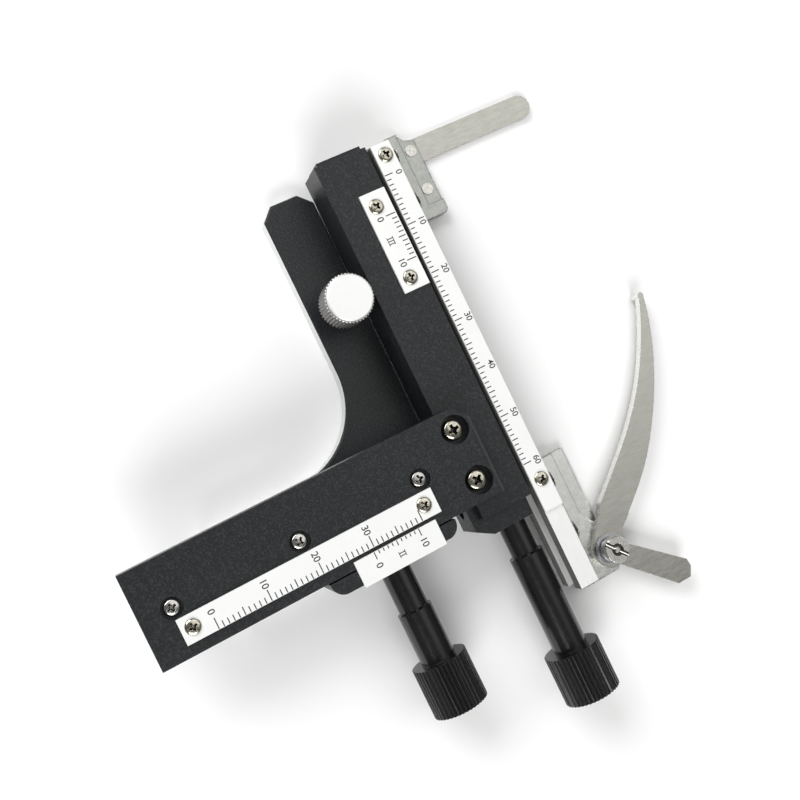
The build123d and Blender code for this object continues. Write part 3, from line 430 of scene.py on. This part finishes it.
def x_vernier_marks(bm):
    """Eleven lines of the X vernier, numbered 0 and 10, with III between."""
    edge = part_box("vernier_x")[1][1] / MM - 0.2
    for k in range(11):
        x = XV_ZERO + k * VERNIER_STEP
        printed_box(bm, x - LINE_W / 2, x + LINE_W / 2, edge - tick_length(k, *XV_TICKS), edge, XV_TOP)
    printed_text(bm, "0", XV_ZERO + 0.2, 25.2, XV_TOP, NUMERAL_H)
    printed_text(bm, "10", XV_ZERO + 9.1, 25.45, XV_TOP, NUMERAL_H)
    printed_roman(bm, 3, XV_ZERO + 4.65, 25.3, XV_TOP)


def y_vernier_marks(bm):
    """Eleven lines of the Y vernier, numbered 0 and 10, with II between."""
    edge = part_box("vernier_y")[0][0] / MM + 0.05
    for k in range(11):
        y = YV_ZERO + k * VERNIER_STEP
        printed_box(bm, edge, edge + tick_length(k, *YV_TICKS), y - LINE_W / 2, y + LINE_W / 2, YV_TOP)
    printed_text(bm, "0", 10.2, YV_ZERO - 0.1, YV_TOP, NUMERAL_H)
    printed_text(bm, "10", 10.3, YV_ZERO + 9.1, YV_TOP, NUMERAL_H)
    printed_roman(bm, 2, 10.3, YV_ZERO + 4.55, YV_TOP)


print_piece("print_x_scale", "x_scale", x_scale_marks)
print_piece("print_y_scale", "y_scale", y_scale_marks)
print_piece("print_x_vernier", "vernier_x", x_vernier_marks)
print_piece("print_y_vernier", "vernier_y", y_vernier_marks)


def lathe(bm, profile, steps=40):
    """Turns a profile of (radius, height) pairs about Z."""
    turn = 2 * pi / steps
    rings = []
    for radius, height in profile:
        ring = [(0, 0, height)]
        if radius > 0:
            ring = [(radius * cos(k * turn), radius * sin(k * turn), height) for k in range(steps)]
        rings.append([bm.verts.new(place) for place in ring])
    for a, b in zip(rings, rings[1:]):
        for k in range(steps):
            corners = [a[k % len(a)], a[(k + 1) % len(a)], b[(k + 1) % len(b)], b[k % len(b)]]
            bm.faces.new(list(dict.fromkeys(corners)))


def tapered_bar(length, width, depth, top):
    """A wedge-sided bar that cuts one arm of a cross recess."""
    bm = bmesh.new()
    corners = ((-1, -1), (1, -1), (1, 1), (-1, 1))
    low = [bm.verts.new((x * length * 0.42, y * width * 0.36, top - depth)) for x, y in corners]
    high = [bm.verts.new((x * length * 1.06, y * width * 1.06, top + depth * 0.3)) for x, y in corners]
    bm.faces.new(low[::-1])
    bm.faces.new(high)
    for k in range(4):
        bm.faces.new((low[k], low[(k + 1) % 4], high[(k + 1) % 4], high[k]))
    return mesh_from(bm, "recess_arm")


def turned_mesh(name, profile):
    """A closed turned solid from a (radius, height) profile, in millimetres."""
    bm = bmesh.new()
    lathe(bm, profile)
    bmesh.ops.recalc_face_normals(bm, faces=bm.faces)
    return mesh_from(bm, name)


def carved(mesh, cutters):
    """The mesh with other meshes cut out of it, each turned about Z by its angle in degrees."""
    body = bpy.data.objects.new("carved", mesh)
    bpy.context.scene.collection.objects.link(body)
    used = [body]
    for tool, angle in cutters:
        cutter = bpy.data.objects.new("cutter", tool)
        cutter.rotation_euler = (0, 0, radians(angle))
        bpy.context.scene.collection.objects.link(cutter)
        modifier = body.modifiers.new("cut", "BOOLEAN")
        modifier.operation = "DIFFERENCE"
        modifier.solver = "EXACT"
        modifier.object = cutter
        used.append(cutter)
    bpy.context.view_layer.update()
    done = bpy.data.meshes.new_from_object(body.evaluated_get(bpy.context.evaluated_depsgraph_get()))
    for extra in used:
        bpy.data.objects.remove(extra)
    return done


def cross_head(radius, height, dome):
    """A round screw head with a tapered cross recess, standing on z = 0, in millimetres."""
    rim = height - dome
    profile = [(0, -0.4), (radius * 0.5, -0.4), (radius * 0.5, 0), (radius, 0), (radius, rim * 0.75)]
    steps = 6
    for k in range(steps):
        angle = pi / 2 * k / steps
        profile.append((radius * 0.96 * cos(angle), rim + dome * sin(angle)))
    profile.append((0, height))
    long_arm, short_arm = (radius * 0.62, radius * 0.17), (radius * 0.33, radius * 0.33)
    arms = [(long_arm, 0), (long_arm, 90), (short_arm, 45)]
    cutters = [(tapered_bar(length, width, radius * 0.6, height), angle) for (length, width), angle in arms]
    return carved(turned_mesh("screw_head", profile), cutters)


def screw_piece(name, node, places, seat, radius, height, dome, look, turns):
    """All cross-recess screws of one node, each turned its own way, with painted shade in their recesses."""
    head = cross_head(radius, height, dome)
    bm = bmesh.new()
    for (x, y), turn in zip(places, turns):
        one = head.copy()
        one.transform(Matrix.Rotation(radians(turn), 4, "Z"))
        one.transform(Matrix.Translation(Vector((x, y, seat))))
        one.transform(Matrix.Scale(MM, 4))
        bm.from_mesh(one)
    mesh = mesh_from(bm, name)
    piece = add_piece(name, mesh, look, BODY_OF[node])
    # Recess walls and bottoms take the dark recess look: painted shade.
    mesh.materials.append(LOOKS["recess"])
    for face in mesh.polygons:
        spot = face.center / MM
        inward = min(hypot(spot.x - x, spot.y - y) for x, y in places)
        wall = inward < radius * 0.66 and seat < spot.z < seat + height * 0.93 and abs(face.normal.z) < 0.9
        bottom = inward < radius * 0.5 and seat - 0.1 < spot.z < seat + height * 0.6
        if wall or bottom:
            face.material_index = 1
    smooth_but_sharp(mesh, SHARP_DEGREES)
    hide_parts(node)


BAR_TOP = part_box("y_bar")[1][2] / MM
PLATE_HEAD = (1.45, 0.5, 0.3)
RAIL_HEAD = (1.5, 0.75, 0.35)
CROSS_HEAD = (2.0, 1.4, 0.55)
Y_SCALE_SCREWS = [(4.4, -37.25), (4.4, 7.96)]
X_SCALE_SCREWS = [(-56.6, 31.7), (10.9, 31.7)]
X_VERNIER_SCREWS = [(-48.4, 25.6), (-33.9, 25.6)]
RAIL_SCREWS = [(0, -39.0), (0, -14.8), (0, 9.5)]
CROSS_SCREWS = [(-5.1, 19.5), (5.1, 19.5)]
screw_piece("heads_y_scale", "y_scale_screws", Y_SCALE_SCREWS, Y_TOP, *PLATE_HEAD, "screw_warm", (12, 28))
screw_piece("heads_x_scale", "x_scale_screws", X_SCALE_SCREWS, X_TOP, *PLATE_HEAD, "screw_warm", (20, 50))
screw_piece("heads_x_vernier", "vernier_x_screws", X_VERNIER_SCREWS, XV_TOP, *PLATE_HEAD, "screw_warm", (35, 5))
screw_piece("heads_y_rail", "y_rail_screws", RAIL_SCREWS, BAR_TOP - 1.2, *RAIL_HEAD, "screw", (15, 40, 5))
screw_piece("heads_cross", "cross_screws", CROSS_SCREWS, BAR_TOP - 2.2, *CROSS_HEAD, "screw_warm", (10, 38))


def block_mesh(name, length, width, z0, z1):
    """A block centred on the Z axis, in millimetres."""
    bm = bmesh.new()
    place = Matrix.LocRotScale(Vector((0, 0, (z0 + z1) / 2)), None, Vector((length, width, z1 - z0)))
    bmesh.ops.create_cube(bm, size=1.0, matrix=place)
    return mesh_from(bm, name)


def axis_of(node):
    """Middle of an upright round node along X and Y, its underside and its top, in millimetres."""
    low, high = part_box(node)
    return (low[0] + high[0]) / 2 / MM, (low[1] + high[1]) / 2 / MM, low[2] / MM, high[2] / MM


def set_in_place(bm, x, y, name):
    """Scales a millimetre solid built on the Z axis, moves it to its axis and makes it a mesh."""
    place = Matrix.Scale(MM, 4) @ Matrix.Translation(Vector((x, y, 0)))
    bmesh.ops.transform(bm, matrix=place, verts=bm.verts)
    bmesh.ops.recalc_face_normals(bm, faces=bm.faces)
    return mesh_from(bm, name)


CAP_R, CAP_H, CAP_EDGE = 2.7, 0.7, 0.15
STEM_R = 1.6
SLOT_W, SLOT_ANGLE = 0.95, 40
DISH_R, DISH_DEPTH = 1.25, 0.55
WIRE_R = 0.2
PIN_R, PIN_EDGE, PIN_SINK = 0.62, 0.12, 0.05


def slotted_post():
    """Post of the spring finger: a slotted, dished cap with a centre pin and a wire across it."""
    x, y, base, top = axis_of("clip_post")
    floor_z = top - DISH_DEPTH
    cap = [
        (0, base), (STEM_R, base), (STEM_R, top - CAP_H), (CAP_R, top - CAP_H), (CAP_R, top - CAP_EDGE),
        (CAP_R - CAP_EDGE, top), (0, top),
    ]
    dish = [(0, floor_z), (DISH_R, floor_z), (DISH_R, top + 1), (0, top + 1)]
    slot = block_mesh("slot", 2 * CAP_R + 1, SLOT_W, floor_z, top + 1)
    bm = bmesh.new()
    bm.from_mesh(carved(turned_mesh("post", cap), [(slot, SLOT_ANGLE), (turned_mesh("dish", dish), 0)]))
    pin_z = floor_z - PIN_SINK
    lathe(bm, [(0, pin_z), (PIN_R, pin_z), (PIN_R, top - PIN_EDGE), (PIN_R - PIN_EDGE, top), (0, top)])
    before_wire = len(bm.verts)
    lathe(bm, [(0, -CAP_R), (WIRE_R, -CAP_R), (WIRE_R, CAP_R), (0, CAP_R)], steps=12)
    bm.verts.ensure_lookup_table()
    lay_down = Matrix.Rotation(radians(SLOT_ANGLE), 4, "Z") @ Matrix.Rotation(radians(90), 4, "Y")
    wire_place = Matrix.Translation(Vector((0, 0, floor_z + WIRE_R))) @ lay_down
    bmesh.ops.transform(bm, matrix=wire_place, verts=bm.verts[before_wire:])
    mesh = set_in_place(bm, x, y, "post_cap")
    piece = add_piece("slotted_post", mesh, "screw", BODY_OF["clip_post"])
    # The dish floor takes the dark recess look: painted shade.
    mesh.materials.append(LOOKS["recess"])
    for face in mesh.polygons:
        if abs(face.center.z / MM - floor_z) < 0.02 and face.normal.z > 0.9:
            face.material_index = 1
    smooth_but_sharp(mesh, SHARP_DEGREES)
    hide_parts("clip_post")


GRIP_H = 7.3
RIM_H, RIM_INSET, RIM_EDGE = 0.8, 0.28, 0.2
KNURLS, KNURL_DEPTH = 44, 0.28
SHANK_R = 2.0
OVERLAP = 0.2


def knurled_grip():
    """Thumb screw: knurled grip under a plain rim, on its shank."""
    x, y, base, top = axis_of("clamp_screw")
    low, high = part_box("clamp_screw")
    radius = (high[0] - low[0]) / 2 / MM
    bm = bmesh.new()
    shank_top = top - GRIP_H + OVERLAP
    lathe(bm, [(0, base), (SHANK_R, base), (SHANK_R, shank_top), (0, shank_top)])
    rim_r = radius - RIM_INSET
    rim_z = top - RIM_H - OVERLAP
    rim = [(0, rim_z), (rim_r, rim_z), (rim_r, top - RIM_EDGE), (rim_r - RIM_EDGE, top), (0, top)]
    lathe(bm, rim, steps=96)
    count = 2 * KNURLS
    loops = []
    for height in (top - GRIP_H, top - RIM_H):
        loop = []
        for k in range(count):
            reach = radius - (KNURL_DEPTH if k % 2 else 0)
            loop.append(bm.verts.new((reach * cos(pi * k / KNURLS), reach * sin(pi * k / KNURLS), height)))
        loops.append(loop)
    lower, upper = loops
    bm.faces.new(lower[::-1])
    bm.faces.new(upper)
    for k in range(count):
        n = (k + 1) % count
        bm.faces.new((lower[k], lower[n], upper[n], upper[k]))
    mesh = set_in_place(bm, x, y, "thumb_grip")
    piece = add_piece("knurled_thumb_screw", mesh, "thumb", BODY_OF["clamp_screw"])
    smooth_but_sharp(mesh, KNURL_SHARP_DEGREES)
    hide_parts("clamp_screw")


slotted_post()
knurled_grip()

# Camera, at the photograph's place and angle
SENSOR_W = 36.0
FOCAL_PIXELS = 1063.2
PICTURE_W = 800.0
CAMERA_EYE = (-20.3, -37.2, 203.6)
CAMERA_RIGHT = (0.4355, 0.8657, 0.2467)
CAMERA_BACK = (-0.0309, -0.2595, 0.9652)
camera_data = bpy.data.cameras.new("camera")
camera_data.sensor_width = SENSOR_W
camera_data.lens = SENSOR_W * FOCAL_PIXELS / PICTURE_W
camera_data.clip_start = 0.01
camera = bpy.data.objects.new("camera", camera_data)
right = Vector(CAMERA_RIGHT).normalized()
back = Vector(CAMERA_BACK).normalized()
up = back.cross(right).normalized()
right = up.cross(back)
turn = Matrix((right, up, back)).transposed().to_4x4()
camera.matrix_world = Matrix.Translation(Vector(CAMERA_EYE) * MM) @ turn
bpy.context.scene.collection.objects.link(camera)
bpy.context.scene.camera = camera

# Floor
floor_look = Look("floor_pale")
floor_tone = floor_look.noise(0.02, 1.0)
floor_look.finish(floor_look.mix(floor_tone, (0.955, 0.955, 0.955), (0.97, 0.97, 0.97)), 0.9, Specular_IOR_Level=0.1)
bpy.ops.mesh.primitive_plane_add(size=12.0, location=(0, 0, 0))
floor = bpy.context.object
floor.name = "floor"
floor.data.materials.append(floor_look.mat)


def softbox(name, place, target, width, height, power):
    """A rectangular studio light aimed at a point, places in metres."""
    data = bpy.data.lights.new(name, "AREA")
    data.shape = "RECTANGLE"
    data.size = width
    data.size_y = height
    data.energy = power
    light = bpy.data.objects.new(name, data)
    aim = (Vector(target) - Vector(place)).to_track_quat("-Z", "Y")
    light.matrix_world = Matrix.Translation(Vector(place)) @ aim.to_matrix().to_4x4()
    bpy.context.scene.collection.objects.link(light)


softbox("side_right", (0.62, -0.30, 0.55), (0, 0, 0), 0.6, 0.5, 6.0)
softbox("side_left", (-0.66, -0.25, 0.52), (-0.02, 0, 0), 0.6, 0.5, 5.8)

# A broad glow high on one side of the sky, fading to dim elsewhere
world = bpy.data.worlds.new("studio")
bpy.context.scene.world = world
world.use_nodes = True
sky = world.node_tree
sky_coords = sky.nodes.new("ShaderNodeTexCoord")
sky_dot = sky.nodes.new("ShaderNodeVectorMath")
sky_dot.operation = "DOT_PRODUCT"
sky_dot.inputs[1].default_value = Vector((-0.25, 0.45, 0.86)).normalized()
sky_range = sky.nodes.new("ShaderNodeMapRange")
sky_range.interpolation_type = "SMOOTHSTEP"
for socket, value in {"From Min": 0.79, "From Max": 0.96, "To Min": 0.13, "To Max": 1.15}.items():
    sky_range.inputs[socket].default_value = value
sky.links.new(sky_coords.outputs["Generated"], sky_dot.inputs[0])
sky.links.new(sky_dot.outputs["Value"], sky_range.inputs["Value"])
sky.links.new(sky_range.outputs["Result"], sky.nodes["Background"].inputs["Strength"])
sky.nodes["Background"].inputs["Color"].default_value = (1.0, 0.998, 0.99, 1)
bpy.context.scene.view_settings.view_transform = "Standard"
